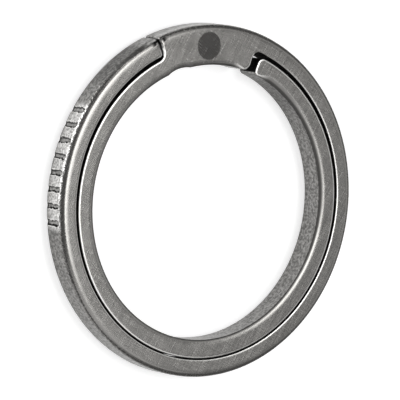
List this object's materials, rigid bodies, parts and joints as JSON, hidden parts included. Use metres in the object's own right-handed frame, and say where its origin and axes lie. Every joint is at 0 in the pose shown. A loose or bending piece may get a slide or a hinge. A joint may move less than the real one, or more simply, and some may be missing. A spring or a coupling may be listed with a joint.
{
  "type": "flat split key ring",
  "caption": "Flat split ring cut from one metal plate: a band slit into two springy arms, with a solid pad, a tip gap and a key gap, and grip grooves on the outer arm.",
  "frame": {"origin": "on the ring's axis, in the plane of the back face it rests on", "axes": "+Z along the ring's axis, from the back face to the front face; +Y towards the solid pad between the two arm roots; +X to the right as the front is seen"},
  "size_m": [0.035, 0.035, 0.0027],
  "materials": {
    "stonewashed_titanium": "stonewashed bare titanium: satin grey, fine speckle, edges worn bright"
  },
  "bodies": {
    "root": {"ring": "stonewashed_titanium"}
  },
  "joints": []
}
